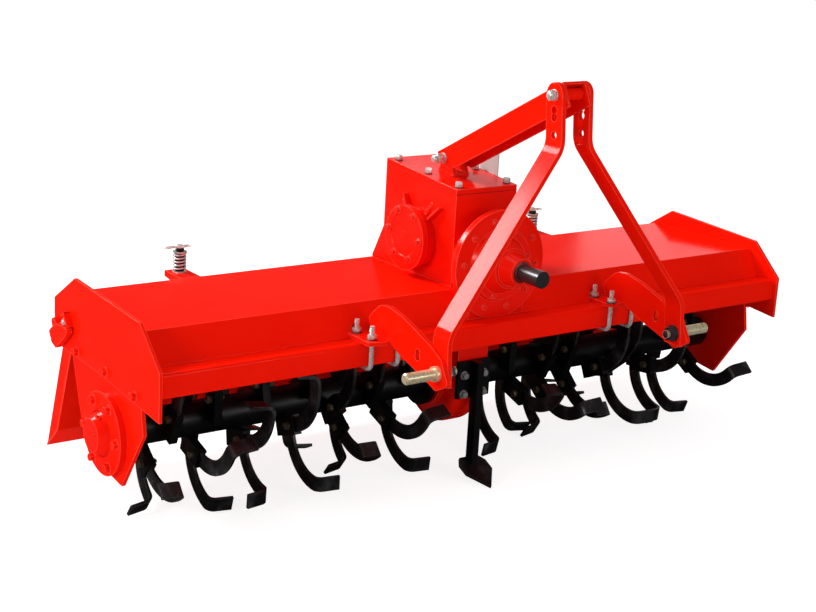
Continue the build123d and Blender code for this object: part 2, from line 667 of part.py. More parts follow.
def shank_bar():
    rear = CASE_FRONT_Y - CLAMP_T
    front = rear - SHANK_W
    top = CLAMP_Z[1]
    outline = ((front, share_height(front)), (rear, share_height(rear)), (rear, top), (front, top))
    return plate_x(outline, -SHANK_T / 2, SHANK_T / 2)


def share():
    half = [(x, s) for x, s in SHARE_OUTLINE]
    outline = [(x, s, 0) for x, s in half] + [(-x, s, 0) for x, s in half[:0:-1]]
    slab = extrude(make_face(Polyline(*outline, close=True)), amount=SHARE_T, dir=(0, 0, 1))
    slab = slab.rotate(Axis.X, SHARE_SLOPE)
    return Pos(0, SHARE_TIP_Y, 0) * slab


# ---------------------------------------------------------------- rotor
def tip_reach(radius):
    """Distance from the axis to the wing's outer corner, for a blade curved to a given radius."""
    turn, bend = math.radians(BLADE_CURVE), math.radians(WING_BEND)
    along = (WING_BEND_R + BLADE_T / 2) * math.sin(bend) + WING_L * math.cos(bend)
    half = BLADE_W / 2
    y = BLADE_OFFSET - radius * (1 - math.cos(turn)) - along * math.sin(turn) + half * math.cos(turn)
    z = BLADE_STRAIGHT + radius * math.sin(turn) + along * math.cos(turn) + half * math.sin(turn)
    return math.hypot(y, z)


def curve_radius():
    """Radius of the blade's curve that puts the wing's outer corner on the swing circle."""
    low, high = BLADE_W, 2 * SWING_R
    while high - low > 0.001:
        middle = (low + high) / 2
        if tip_reach(middle) > SWING_R:
            high = middle
        else:
            low = middle
    return low


def blade(hand):
    """One blade, its leg pointing straight down beside the axis at the origin and its wing to hand * X."""
    radius, turn = curve_radius(), math.radians(BLADE_CURVE)
    y0, z0 = BLADE_OFFSET, -BLADE_STRAIGHT
    half, t = BLADE_W / 2, BLADE_T
    leg = block(-t / 2, t / 2, y0 - half, y0 + half, z0, -BLADE_ROOT)
    start = Plane(origin=(0, y0, z0), x_dir=(1, 0, 0), z_dir=(0, 0, -1))
    section = start * make_face(Rectangle(t, BLADE_W).wire())
    curve = revolve(section, Axis((0, y0 - radius, z0), (1, 0, 0)), -BLADE_CURVE)
    path = (-math.sin(turn), -math.cos(turn))
    out = (math.cos(turn), -math.sin(turn))
    y1, z1 = y0 - radius * (1 - math.cos(turn)), z0 - radius * math.sin(turn)
    end = Plane(origin=(0, y1, z1), x_dir=(1, 0, 0), z_dir=(0, *path))
    bend_axis = Axis((hand * WING_BEND_R, y1, z1), (0, *out))
    bend = revolve(end * make_face(Rectangle(t, BLADE_W).wire()), bend_axis, -WING_BEND * hand)
    angle = math.radians(WING_BEND)
    along = WING_BEND_R * math.sin(angle)
    root = (hand * WING_BEND_R * (1 - math.cos(angle)), y1 + path[0] * along, z1 + path[1] * along)
    run = (hand * math.sin(angle), path[0] * math.cos(angle), path[1] * math.cos(angle))
    flat = Plane(origin=root, x_dir=(0, *out), z_dir=run) * Pos(0, 0, WING_L / 2) * Box(BLADE_W, t, WING_L)
    return leg + curve + bend + flat


def socket():
    """Box welded to the tube round the root of one blade, open at its outer end."""
    half, t = BLADE_T / 2, SOCKET_T
    y0, y1 = BLADE_OFFSET - SOCKET_W / 2, BLADE_OFFSET + SOCKET_W / 2
    start, end = SOCKET_Z
    box = block(-half - t, half + t, y0, y1, -end, -start)
    leg = BLADE_W / 2
    box -= block(-half, half, BLADE_OFFSET - leg, BLADE_OFFSET + leg, -end - 1, -BLADE_ROOT)
    return box - rod_x(-half - t - 1, half + t + 1, 0, 0, ROTOR_TUBE_R)


def stations():
    """(x, leg direction, hand) of every blade on the rotor."""
    rows = []
    for side, table in ((-1, STATIONS_LEFT), (1, STATIONS_RIGHT)):
        for x, direction, hand in table:
            rows += [(side * x, direction, hand), (side * x, direction + 180, -hand)]
    return rows


def on_rotor(shape, x, degrees):
    """A shape made pointing straight down at the origin, put at its place on the rotor."""
    return Pos(x, ROTOR_Y, ROTOR_Z) * shape.rotate(Axis.X, -degrees)


def rotor_shaft():
    inner = CASE_HALF + CASE_BOSS_L + ROTOR_GAP
    bore, wall = ROTOR_TUBE_R - ROTOR_TUBE_WALL, ROTOR_TUBE_WALL
    shaft = rod_x(-journal_end(), journal_end(), ROTOR_Y, ROTOR_Z, JOURNAL_R)
    for side in (-1, 1):
        tube = rod_x(side * inner, side * ROTOR_END, ROTOR_Y, ROTOR_Z, ROTOR_TUBE_R)
        tube -= rod_x(side * (inner + wall), side * (ROTOR_END - wall), ROTOR_Y, ROTOR_Z, bore)
        shaft += tube
        shaft += rod_x(side * inner, side * (inner + ROTOR_FLANGE_T), ROTOR_Y, ROTOR_Z, CASE_BOSS_R)
    return shaft


def blade_sockets():
    holder = socket()
    return Compound(children=[on_rotor(holder, x, degrees) for x, degrees, _ in stations()])


def blades(hand):
    one = blade(hand)
    return Compound(children=[on_rotor(one, x, degrees) for x, degrees, side in stations() if side == hand])


# ---------------------------------------------------------------- trailing board
def board_line():
    y, z = BOARD_AXIS
    return ((y, z - BOARD_TUBE_R + 2), *BOARD_POINTS)


def board_panel():
    """Sheet with a bent lower lip, hung from a tube round the hinge axis."""
    sheet = plate_x(folded(board_line(), BOARD_SHEET, side=-1), -BOARD_HALF, BOARD_HALF)
    tube = rod_x(-BOARD_HALF, BOARD_HALF, *BOARD_AXIS, BOARD_TUBE_R)
    tube -= rod_x(-BOARD_HALF - 1, BOARD_HALF + 1, *BOARD_AXIS, PIVOT_R)
    return sheet + tube


def board_surface(z):
    """Rear surface of the board at a height, on its long flat part."""
    (y0, z0), (y1, z1) = BOARD_POINTS[0], BOARD_POINTS[1]
    return y0 + (z0 - z) * (y1 - y0) / (z0 - z1) + BOARD_SHEET * math.hypot(y1 - y0, z1 - z0) / (z0 - z1)


def board_end(side):
    """Stiffening flange behind each end of the board."""
    line = board_line()
    back = folded(line, BOARD_SHEET, side=-1)[len(line):][::-1]
    (y0, z0), (y1, z1), (y3, z3) = back[0], back[1], back[-1]
    top = (y1 + (y0 - y1) / 2, z1 + (z0 - z1) / 2)
    outline = (top, *back[1:], (y3 - 8, z3 + 12), (y1 + BOARD_FLANGE, z1 + 8))
    return mirrored(side, plate_x(outline, BOARD_HALF - 5, BOARD_HALF))


def board_pivot(side):
    """Pin that turns with the board in the end plate, and carries the ear."""
    return mirrored(side, rod_x(BOARD_HALF - PIVOT_IN, ear_face(), *BOARD_AXIS, PIVOT_R))


def ear_face():
    """Outer face of the ear on the end of the pivot."""
    return END_X + EAR_OUT


def board_ear(side):
    """Thick cut-off ear with a round eye on the end of the pivot, outside the end plate."""
    ear = plate_x(EAR_OUTLINE, ear_face() - EAR_T, ear_face())
    ear += rod_x(END_X + 1, ear_face(), *BOARD_AXIS, EAR_EYE_R)
    return mirrored(side, ear - rod_x(END_X, ear_face() + 1, *BOARD_AXIS, PIVOT_R))


def board_lugs():
    """A pair of ears behind the board for each spring rod, with the pin that joins them."""
    near, far = eye_half() + 1, eye_half() + 1 + LUG_T
    lugs = Part()
    for _, side in SIDES:
        for x0, x1 in ((near, far), (-near, -far)):
            x = side * ROD_X
            z = ROD_FOOT_Z
            foot = [(board_surface(z + dz), z + dz) for dz in (LUG_FOOT_HALF, -LUG_FOOT_HALF)]
            ear = plate_x((*foot, (ROD_Y, z - LUG_TIP_R), (ROD_Y, z + LUG_TIP_R)), x + x0, x + x1)
            ear += rod_x(x + x0, x + x1, ROD_Y, z, LUG_TIP_R)
            lugs += ear
        lugs += rod_x(side * ROD_X - far - 4, side * ROD_X + far + 4, ROD_Y, ROD_FOOT_Z, 6)
    return lugs


def eye_half():
    return 8.0


# ---------------------------------------------------------------- spring rods
def spring_bracket(side):
    """Channel arm behind the hood, with a slot that the rod slides in."""
    y0, y1 = HOOD_REAR[0], BRACKET_REAR_Y
    top, t, half = BRACKET_TOP_Z, BRACKET_SHEET, BRACKET_HALF
    arm = block(ROD_X - half, ROD_X + half, y0, y1, top - t, top)
    flange = ((y0, top - t), (y1, top - t), (y1, top - 16), (y0, top - BRACKET_DEPTH))
    for x in (ROD_X - half, ROD_X + half - t):
        arm += plate_x(flange, x, x + t)
    wide = ROD_R + 2.5
    y0, y1 = ROD_Y - ROD_SLOT_HALF, ROD_Y + ROD_SLOT_HALF
    slot = block(ROD_X - wide, ROD_X + wide, y0, y1, top - t - 1, top + 1)
    for dy in (-ROD_SLOT_HALF, ROD_SLOT_HALF):
        slot += rod_z(top - t - 1, top + 1, ROD_X, ROD_Y + dy, wide)
    return mirrored(side, arm - slot)


def lift_rods():
    rods = Part()
    for _, side in SIDES:
        x = side * ROD_X
        eye = rod_x(x - eye_half(), x + eye_half(), ROD_Y, ROD_FOOT_Z, 13)
        shape = eye + rod_z(ROD_FOOT_Z + 6, ROD_TOP_Z, x, ROD_Y, ROD_R)
        shape -= rod_x(x - ROD_R - 9, x + ROD_R + 9, ROD_Y, clip_height(), CLIP_R)
        rods += shape - rod_x(x - 20, x + 20, ROD_Y, ROD_FOOT_Z, 6 + RUNNING)
    return rods


def rod_springs():
    """Coil springs above the brackets, each between two washers that ride on the rod."""
    low = BRACKET_TOP_Z + SEAT_GAP
    washer = 3.0
    both = Part()
    for _, side in SIDES:
        x = side * ROD_X
        bore = ROD_R + RUNNING
        top = SPRING_TOP_Z
        for z in (low, top):
            disc = rod_z(z, z + washer, x, ROD_Y, SPRING_R + 3)
            both += disc - rod_z(z - 1, z + washer + 1, x, ROD_Y, bore)
        height = top - low - washer - 2 * SPRING_WIRE_R
        helix = Helix(pitch=height / SPRING_TURNS, height=height, radius=SPRING_R)
        start = Plane(origin=helix @ 0, z_dir=helix % 0)
        coil = sweep(start * Circle(SPRING_WIRE_R), path=helix, is_frenet=True)
        both += Pos(x, ROD_Y, low + washer + SPRING_WIRE_R) * coil
    return both


def clip_height():
    return (SPRING_TOP_Z + ROD_TOP_Z) / 2 + 2


def rod_clips():
    """Spring clips through the tops of the rods."""
    clips = Part()
    z, wire = clip_height(), CLIP_R
    for _, side in SIDES:
        x = side * ROD_X
        clips += rod_x(x - CLIP_REACH, x + ROD_R + 6, ROD_Y, z, wire)
        clips += rod_x(x - CLIP_REACH, x - ROD_R - 2, ROD_Y, z + 9, wire)
        clips += block(x - CLIP_REACH - 2, x - CLIP_REACH + 2, ROD_Y - wire, ROD_Y + wire, z - wire, z + 11)
    return clips


# ---------------------------------------------------------------- write every piece
def all_pieces():
    pieces = {
        "main_beam": main_beam(),
        "hood_panel": hood_panel(),
        "gearbox_body": gearbox_body(),
        "gearbox_cover": gearbox_cover(),
        "input_housing": input_housing(),
        "centre_gear_case": centre_gear_case(),
        "input_shaft": input_shaft(),
        "shaft_cap": shaft_cap(),
        "hose_bracket": hose_bracket(),
        "top_link": top_link(),
        "top_link_lug": top_link_lug(),
        "top_link_bolt_low": cross_bolt(*LINK_LOW, LINK_HALF, LINK_BOLT_TAILS[0]),
        "top_link_bolt_high": cross_bolt(*LINK_HIGH, MAST_TOP_X, LINK_BOLT_TAILS[1]),
        "mast_spacer": mast_spacer(),
        "shank_clamp": shank_clamp(),
        "shank_bar": shank_bar(),
        "share": share(),
        "rotor_shaft": rotor_shaft(),
        "blade_sockets": blade_sockets(),
        "blades_left_hand": blades(-1),
        "blades_right_hand": blades(1),
        "board_panel": board_panel(),
        "board_lugs": board_lugs(),
        "lift_rods": lift_rods(),
        "rod_springs": rod_springs(),
        "rod_clips": rod_clips(),
    }
    for name, make in (
        ("end_plate", end_plate),
        ("bearing_plate", bearing_plate),
        ("bearing_cover", bearing_cover),
        ("gearbox_side_cover", gearbox_side_cover),
        ("hitch_plate", hitch_plate),
        ("hitch_pin", hitch_pin),
        ("saddle_plate", saddle_plate),
        ("u_bolts", u_bolts),
        ("mast_bar", mast_bar),
        ("board_end", board_end),
        ("board_ear", board_ear),
        ("board_pivot", board_pivot),
        ("spring_bracket", spring_bracket),
    ):
        for word, side in SIDES:
            pieces[name + "_" + word] = make(side)
    return pieces


os.makedirs("parts", exist_ok=True)
for name, piece in all_pieces().items():
    export_step(Pos(0, -CENTRE_Y, -GROUND_Z) * piece, "parts/" + name + ".step")
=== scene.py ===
"""Rotary tiller: paint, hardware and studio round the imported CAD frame."""
import json
import math

import bmesh
import bpy
from mathutils import Matrix, Vector

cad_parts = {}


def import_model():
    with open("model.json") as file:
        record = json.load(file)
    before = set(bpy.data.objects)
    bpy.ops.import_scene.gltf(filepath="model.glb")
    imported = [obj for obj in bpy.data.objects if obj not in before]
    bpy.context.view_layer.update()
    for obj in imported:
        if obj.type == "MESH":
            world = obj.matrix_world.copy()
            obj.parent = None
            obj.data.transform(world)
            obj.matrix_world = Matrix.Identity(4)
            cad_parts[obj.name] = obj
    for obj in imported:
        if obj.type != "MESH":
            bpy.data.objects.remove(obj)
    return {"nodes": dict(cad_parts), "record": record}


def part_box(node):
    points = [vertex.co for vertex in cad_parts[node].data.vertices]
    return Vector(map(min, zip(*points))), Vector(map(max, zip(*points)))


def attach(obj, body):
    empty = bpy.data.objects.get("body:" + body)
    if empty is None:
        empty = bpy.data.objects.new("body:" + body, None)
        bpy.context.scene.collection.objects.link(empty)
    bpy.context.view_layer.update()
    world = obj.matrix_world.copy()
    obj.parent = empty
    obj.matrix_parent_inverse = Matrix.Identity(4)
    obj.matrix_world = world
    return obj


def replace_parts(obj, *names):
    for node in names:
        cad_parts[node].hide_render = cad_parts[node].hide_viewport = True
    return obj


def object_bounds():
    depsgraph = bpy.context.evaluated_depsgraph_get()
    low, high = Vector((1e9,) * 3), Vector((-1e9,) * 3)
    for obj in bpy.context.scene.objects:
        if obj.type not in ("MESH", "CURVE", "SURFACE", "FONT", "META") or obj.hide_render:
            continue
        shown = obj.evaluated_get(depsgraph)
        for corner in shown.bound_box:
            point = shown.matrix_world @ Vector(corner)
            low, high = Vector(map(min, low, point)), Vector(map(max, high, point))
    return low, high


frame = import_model()
cad_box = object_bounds()

# ------------------------------------------------------------------ machine datum
# Places below are in millimetres: x = 0 on the centre line, y = 0 on the front face of the beam, and
# the beam's top face BEAM_TOP above z = 0.
BEAM_TOP = 0.482    # in metres, as the frame is
beam_low, beam_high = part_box("main_beam")
DATUM = Vector((0.0, beam_low.y, beam_high.z - BEAM_TOP))
X, Y, Z = Vector((1, 0, 0)), Vector((0, 1, 0)), Vector((0, 0, 1))
SIDES = ((-1, "left"), (1, "right"))


def at(x, y, z):
    """A place in the frame, in metres, from millimetres in the machine datum."""
    return DATUM + Vector((x, y, z)) / 1000


def in_mm(corners):
    """Corners of a CAD node's box, from the frame into the machine datum."""
    return tuple((corner - DATUM) * 1000 for corner in corners)


def joint_mm(name):
    """Where a joint is, in the machine datum."""
    place = next(joint["pos_m"] for joint in frame["record"]["behaviour"]["joints"] if joint["name"] == name)
    return (Vector(place) - DATUM) * 1000


def round_x(y, z, radius, angle):
    """(y, z) of a place on a circle round an axis along X, its angle in radians from +Y towards +Z."""
    return y + radius * math.cos(angle), z + radius * math.sin(angle)


ROTOR = joint_mm("rotor_spin")


# ------------------------------------------------------------------ materials
class Paint:
    """A small builder for one node material."""

    def __init__(self, name, **sockets):
        self.material = bpy.data.materials.new(name)
        self.material.use_nodes = True
        self.tree = self.material.node_tree
        self.shader = self.tree.nodes["Principled BSDF"]
        for socket, value in sockets.items():
            self.shader.inputs[socket.replace("_", " ")].default_value = value
        self.place = self.node("ShaderNodeTexCoord").outputs["Object"]

    def node(self, kind, **settings):
        """Adds a node and sets its own properties."""
        made = self.tree.nodes.new(kind)
        for key, value in settings.items():
            setattr(made, key, value)
        return made

    def noise(self, scale, detail, rough=0.55, stretch=None):
        """Cloudy noise in object space, in features per metre, by itself or stretched."""
        made = self.node("ShaderNodeTexNoise")
        made.inputs["Scale"].default_value = scale
        made.inputs["Detail"].default_value = detail
        made.inputs["Roughness"].default_value = rough
        source = self.place
        if stretch:
            mapping = self.node("ShaderNodeMapping")
            mapping.inputs["Scale"].default_value = stretch
            self.tree.links.new(source, mapping.inputs["Vector"])
            source = mapping.outputs["Vector"]
        self.tree.links.new(source, made.inputs["Vector"])
        return made.outputs["Fac"]

    def ramp(self, fac, stops):
        """Colours from a table of (position, colour)."""
        made = self.node("ShaderNodeValToRGB")
        ramp = made.color_ramp
        ramp.elements[0].position, ramp.elements[-1].position = stops[0][0], stops[-1][0]
        ramp.elements[0].color, ramp.elements[-1].color = (*stops[0][1], 1), (*stops[-1][1], 1)
        for spot, colour in stops[1:-1]:
            ramp.elements.new(spot).color = (*colour, 1)
        self.tree.links.new(fac, made.inputs["Fac"])
        return made.outputs["Color"]

    def span(self, fac, low, high, start=0.3, stop=0.7):
        """Maps start to stop onto low to high."""
        made = self.node("ShaderNodeMapRange")
        made.inputs["From Min"].default_value = start
        made.inputs["From Max"].default_value = stop
        made.inputs["To Min"].default_value = low
        made.inputs["To Max"].default_value = high
        self.tree.links.new(fac, made.inputs["Value"])
        return made.outputs["Result"]

    def set(self, socket, output):
        self.tree.links.new(output, self.shader.inputs[socket])

    def edges(self, colour, rim, radius, amount):
        """Mixes a colour in along sharp edges: a painted highlight where the colour is a pale tint of the
        paint, bare steel where the paint is worn through.
        """
        bevel = self.node("ShaderNodeBevel", samples=6)
        bevel.inputs["Radius"].default_value = radius
        flat = self.node("ShaderNodeNewGeometry")
        dot = self.node("ShaderNodeVectorMath", operation="DOT_PRODUCT")
        self.tree.links.new(bevel.outputs["Normal"], dot.inputs[0])
        self.tree.links.new(flat.outputs["Normal"], dot.inputs[1])
        mask = self.span(dot.outputs["Value"], amount, 0.0, 0.80, 0.97)
        mix = self.node("ShaderNodeMix", data_type="RGBA")
        self.tree.links.new(mask, mix.inputs["Factor"])
        self.tree.links.new(colour, mix.inputs["A"])
        mix.inputs["B"].default_value = (*rim, 1)
        return mix.outputs["Result"]

    def relief(self, fac, strength, distance, edge):
        """Fine bumps on the skin, and edges rounded by the given radius unless that is 0."""
        bump = self.node("ShaderNodeBump")
        bump.inputs["Strength"].default_value = strength
        bump.inputs["Distance"].default_value = distance
        self.tree.links.new(fac, bump.inputs["Height"])
        if edge:
            bevel = self.node("ShaderNodeBevel", samples=4)
            bevel.inputs["Radius"].default_value = edge
            self.tree.links.new(bevel.outputs["Normal"], bump.inputs["Normal"])
        self.tree.links.new(bump.outputs["Normal"], self.shader.inputs["Normal"])


# Width of the painted highlight along the red paints' edges, in metres
EDGE_HIGHLIGHT_WIDTH = 0.0028


def coated(name, dark, light, rough, edge, grain=900, relief=0.05, rim=None, **sockets):
    """Sprayed paint: a little colour drift, an orange-peel skin, uneven gloss and a painted highlight along
    the edges.

    rim is the painted edge highlight's red, green and blue and how much of it is mixed in.
    """
    paint = Paint(name, **sockets)
    colour = paint.ramp(paint.noise(3.0, 6), [(0.3, dark), (0.7, light)])
    # Painted highlight: a pale pink tint along every sharp edge, in light and shade alike
    if rim:
        colour = paint.edges(colour, rim[:3], EDGE_HIGHLIGHT_WIDTH, rim[3])
    paint.set("Base Color", colour)
    paint.set("Roughness", paint.span(paint.noise(9.0, 5), rough[0], rough[1]))
    paint.relief(paint.noise(grain, 2), relief, 0.0006, edge)
    return paint.material


def plated(name, dark, light, rough, metallic=0.6, stretch=None):
    """Plated or bare steel: cloudy tone, fine scratches and a pale bloom over the metal."""
    metal = Paint(name, Metallic=metallic)
    metal.set("Base Color", metal.ramp(metal.noise(40, 5), [(0.3, dark), (0.7, light)]))
    metal.set("Roughness", metal.span(metal.noise(70, 4), rough[0], rough[1]))
    metal.relief(metal.noise(300, 3, stretch=stretch), 0.04, 0.0003, 0.0006)
    return metal.material


def worn_black(name):
    """Thin black paint on forged blades: grey scuffs where soil and handling have rubbed it."""
    paint = Paint(name, Specular_IOR_Level=0.55)
    scuffs = paint.noise(26, 7, 0.62, stretch=(1.0, 0.55, 0.55))
    bare = (0.10, 0.10, 0.105)
    tone = [(0.30, (0.0016, 0.0016, 0.0018)), (0.50, (0.005, 0.005, 0.0056)), (0.62, (0.026, 0.026, 0.028)),
            (0.76, bare)]
    paint.set("Base Color", paint.edges(paint.ramp(scuffs, tone), bare, 0.0025, 0.45))
    paint.set("Roughness", paint.span(paint.noise(60, 5), 0.26, 0.46))
    paint.relief(paint.noise(180, 3), 0.3, 0.0006, 0.0015)
    return paint.material


# rim gives both reds a painted highlight along their edges
RED = coated("red_paint", (0.82, 0.0066, 0.0008), (0.88, 0.0085, 0.0012), (0.1, 0.18), 0.0022,
             rim=(1.0, 0.24, 0.16, 0.5), Specular_IOR_Level=0.045)
RED_CAST = coated(
    "red_cast", (0.78, 0.0055, 0.001), (0.87, 0.008, 0.0014), (0.11, 0.22), 0.0025, 260, 0.2,
    rim=(1.0, 0.30, 0.22, 0.45), Specular_IOR_Level=0.10,
)
BLACK = coated(
    "black_paint", (0.0012, 0.0012, 0.0013), (0.0035, 0.0035, 0.0037), (0.3, 0.46), 0.0015, 240, 0.3,
    Specular_IOR_Level=0.25,
)
BLADE = worn_black("blade_paint")
PLASTIC = coated("black_plastic", (0.010, 0.010, 0.011), (0.016, 0.016, 0.018), (0.28, 0.36), 0.001, 1400,
                 0.1)
GREY = coated("grey_plate", (0.46, 0.47, 0.44), (0.56, 0.57, 0.54), (0.4, 0.55), 0.001, 500, 0.1)
ZINC = plated("zinc", (0.60, 0.60, 0.57), (0.76, 0.77, 0.74), (0.22, 0.34))
YELLOW = plated("yellow_zinc", (0.66, 0.55, 0.33), (0.80, 0.71, 0.48), (0.24, 0.36))
STEEL = plated("bright_steel", (0.42, 0.42, 0.42), (0.6, 0.6, 0.6), (0.22, 0.34), 0.9, (1, 30, 1))
DARK = plated("dark_steel", (0.03, 0.03, 0.034), (0.09, 0.085, 0.09), (0.3, 0.45), 0.7)
DARK_ZINC = plated("dark_zinc", (0.24, 0.24, 0.24), (0.42, 0.42, 0.41), (0.28, 0.4))
DULL = plated("dull_zinc", (0.05, 0.044, 0.026), (0.16, 0.14, 0.09), (0.32, 0.5))
SPRING = plated("spring_steel", (0.5, 0.5, 0.49), (0.74, 0.74, 0.72), (0.22, 0.36))
SEAM = coated("seam_red", (0.30, 0.002, 0.001), (0.38, 0.003, 0.001), (0.4, 0.5), 0, 500, 0.1,
              Specular_IOR_Level=0.05)

BY_SLOT = {
    "red_paint": RED, "black_paint": BLACK, "blade_steel": BLADE, "grey_plate": GREY, "zinc": ZINC,
    "yellow_zinc": YELLOW, "bright_steel": STEEL, "spring_steel": SPRING, "black_plastic": PLASTIC,
}
CAST_NODES = (
    "gearbox_body", "gearbox_cover", "gearbox_side_cover_left", "gearbox_side_cover_right", "input_housing",
    "centre_gear_case", "bearing_cover_left", "bearing_cover_right",
)
# Nodes whose look isn't their slot's: rough castings, the worn share, and pivots painted over with the ears
BY_NODE = {
    **dict.fromkeys(CAST_NODES, RED_CAST), "share": BLADE, "board_pivot_left": RED, "board_pivot_right": RED,
}
for part in frame["record"]["subparts"]:
    mesh = frame["nodes"][part["node"]].data
    for index in range(len(mesh.materials)):
        mesh.materials[index] = BY_NODE.get(part["node"], BY_SLOT[part["material_slot"]])


# ------------------------------------------------------------------ shapes
def facing(place, axis, roll=0.0):
    """Matrix that puts a shape made round local +Z at a place, along an axis."""
    turn = Vector(axis).normalized().to_track_quat("Z", "Y").to_matrix().to_4x4()
    return Matrix.Translation(place) @ turn @ Matrix.Rotation(roll, 4, "Z")


class Piece:
    """Gathers shapes into one object. Shapes are in millimetres round local +Z, placed by a matrix."""

    def __init__(self, name, material, slot, body="frame"):
        self.name, self.material, self.slot, self.body = name, material, slot, body
        self.bm = bmesh.new()

    def rings(self, place, rings, closed=(True, True)):
        """Skin over a row of rings with the same number of points, its two ends closed or open."""
        rows = [[self.bm.verts.new(place @ (Vector(p) / 1000)) for p in ring] for ring in rings]
        for low, high in zip(rows, rows[1:]):
            count = len(low)
            for k in range(count):
                self.bm.faces.new((low[k], low[(k + 1) % count], high[(k + 1) % count], high[k]))
        if closed[0]:
            self.bm.faces.new(rows[0][::-1])
        if closed[1]:
            self.bm.faces.new(rows[-1])

    def lathe(self, place, profile, sides=32, closed=(True, True)):
        """Turned shape from a table of (radius, z)."""
        angles = [2 * math.pi * k / sides for k in range(sides)]
        rings = [[(r * math.cos(a), r * math.sin(a), z) for a in angles] for r, z in profile]
        self.rings(place, rings, closed)

    def washer(self, place, r, t, base=0.0):
        c = min(0.6, t / 3)
        self.lathe(place, [(r - c, base), (r, base + c), (r, base + t - c), (r - c, base + t)])

    def hexagon(self, place, across, t, base=0.0):
        """Nut or bolt head with chamfered corners."""
        r = across / math.sqrt(3)
        sides = [(0.95 * r, base), (r, base + 0.08 * t), (r, base + 0.8 * t)]
        self.lathe(place, sides + [(0.9 * r, base + t), (0.55 * r, base + t)], 6)

    def thread(self, place, r, low, high):
        """Threaded end of a bolt, its thread as plain grooves."""
        pitch = 2.0
        profile, z = [(r * 0.9, low)], low
        while z + pitch < high - 1:
            profile += [(r, z + 0.25 * pitch), (r * 0.88, z + 0.75 * pitch)]
            z += pitch
        self.lathe(place, profile + [(r * 0.95, high - 1.2), (r * 0.75, high)], 20)

    def bolt(self, place, across, t, washer):
        """Hexagon head on a washer of the given radius."""
        washer_t = 2.0
        self.washer(place, washer, washer_t)
        self.hexagon(place, across, t, washer_t)

    def slab(self, place, outline, t, chamfer):
        """Flat plate: outline in local x, y, from z = 0 to t, its two rims slightly chamfered."""
        middle = Vector((sum(p[0] for p in outline), sum(p[1] for p in outline))) / len(outline)

        def inset(z):
            rim = []
            for p in outline:
                away = Vector(p) - middle
                rim.append((*(middle + away * (1 - chamfer / max(away.length, 1e-6))), z))
            return rim

        full = [[(x, y, z) for x, y in outline] for z in (chamfer, t - chamfer)]
        self.rings(place, [inset(0), *full, inset(t)])

    def bar(self, points, radius_at, sides=8):
        """Round bar through points in the machine datum; radius_at gives the radius at a point's number."""
        spots = [Vector(p) for p in points]
        rows = []
        for k, spot in enumerate(spots):
            run = spots[min(k + 1, len(spots) - 1)] - spots[max(k - 1, 0)]
            turn = run.normalized().to_track_quat("Z", "Y").to_matrix()
            size = radius_at(k)
            rows.append([
                spot + turn @ Vector((size * math.cos(a), size * math.sin(a), 0))
                for a in (2 * math.pi * j / sides for j in range(sides))
            ])
        self.rings(Matrix.Translation(DATUM), rows)

    def weld(self, points):
        """Rippled bead along a polyline in the machine datum."""
        r, step = 3.0, 3.0
        spots = [Vector(p) for p in points]
        path = []
        for a, b in zip(spots, spots[1:]):
            count = max(1, round((b - a).length / step))
            path += [a.lerp(b, k / count) for k in range(count)]
        path.append(spots[-1])
        self.bar(path, lambda k: r * (1.0 + 0.16 * math.cos(2.1 * k) + 0.06 * math.sin(5.3 * k)))

    def done(self, smooth=35.0):
        """Makes the object, its edges sharp over the given angle, and rides it on its body."""
        mesh = bpy.data.meshes.new(self.name)
        self.bm.normal_update()
        bmesh.ops.recalc_face_normals(self.bm, faces=self.bm.faces)
        self.bm.to_mesh(mesh)
        self.bm.free()
        mesh.polygons.foreach_set("use_smooth", [True] * len(mesh.polygons))
        mesh.set_sharp_from_angle(angle=math.radians(smooth))
        mesh.materials.append(self.material)
        made = bpy.data.objects.new(self.name, mesh)
        bpy.context.scene.collection.objects.link(made)
        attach(made, self.body)
        return made


# ------------------------------------------------------------------ stage, camera, light
def colour_of(node, grey):
    node.inputs["Color"].default_value = (grey, grey, grey, 1)
    return node


def floor():
    """Pale floor: nearly white to the camera, dim in gloss, pale in the light that it throws back."""
    ground = cad_box[0].z
    mesh = bpy.data.meshes.new("floor")
    bm = bmesh.new()
    centre = Matrix.Translation((0, 0, ground))
    bmesh.ops.create_circle(bm, cap_ends=True, segments=64, radius=30, matrix=centre)
    bm.to_mesh(mesh)
    bm.free()
    made = bpy.data.objects.new("floor", mesh)
    bpy.context.scene.collection.objects.link(made)
    material = bpy.data.materials.new("floor")
    material.use_nodes = True
    tree = material.node_tree
    tree.nodes.clear()
    new, link = tree.nodes.new, tree.links.new
    seen, out = new("ShaderNodeLightPath"), new("ShaderNodeOutputMaterial")
    grey = colour_of(new("ShaderNodeBsdfDiffuse"), 0.40)
    glow = colour_of(new("ShaderNodeEmission"), 1)
    glow.inputs["Strength"].default_value = 0.84
    lit = colour_of(new("ShaderNodeBsdfDiffuse"), 0.8)
    in_gloss = colour_of(new("ShaderNodeBsdfDiffuse"), 0.05)
    unseen, pick = new("ShaderNodeMixShader"), new("ShaderNodeMixShader")
    to_camera = new("ShaderNodeAddShader")
    link(seen.outputs["Is Glossy Ray"], unseen.inputs[0])
    link(lit.outputs[0], unseen.inputs[1])
    link(in_gloss.outputs[0], unseen.inputs[2])
    link(grey.outputs[0], to_camera.inputs[0])
    link(glow.outputs[0], to_camera.inputs[1])
    link(seen.outputs["Is Camera Ray"], pick.inputs[0])
    link(unseen.outputs[0], pick.inputs[1])
    link(to_camera.outputs[0], pick.inputs[2])
    link(pick.outputs[0], out.inputs["Surface"])
    mesh.materials.append(material)


def background(tree, strength):
    """White background light; strength is a number or another node's output."""
    light = colour_of(tree.nodes.new("ShaderNodeBackground"), 1)
    if isinstance(strength, float):
        light.inputs["Strength"].default_value = strength
    else:
        tree.links.new(strength, light.inputs["Strength"])
    return light.outputs[0]


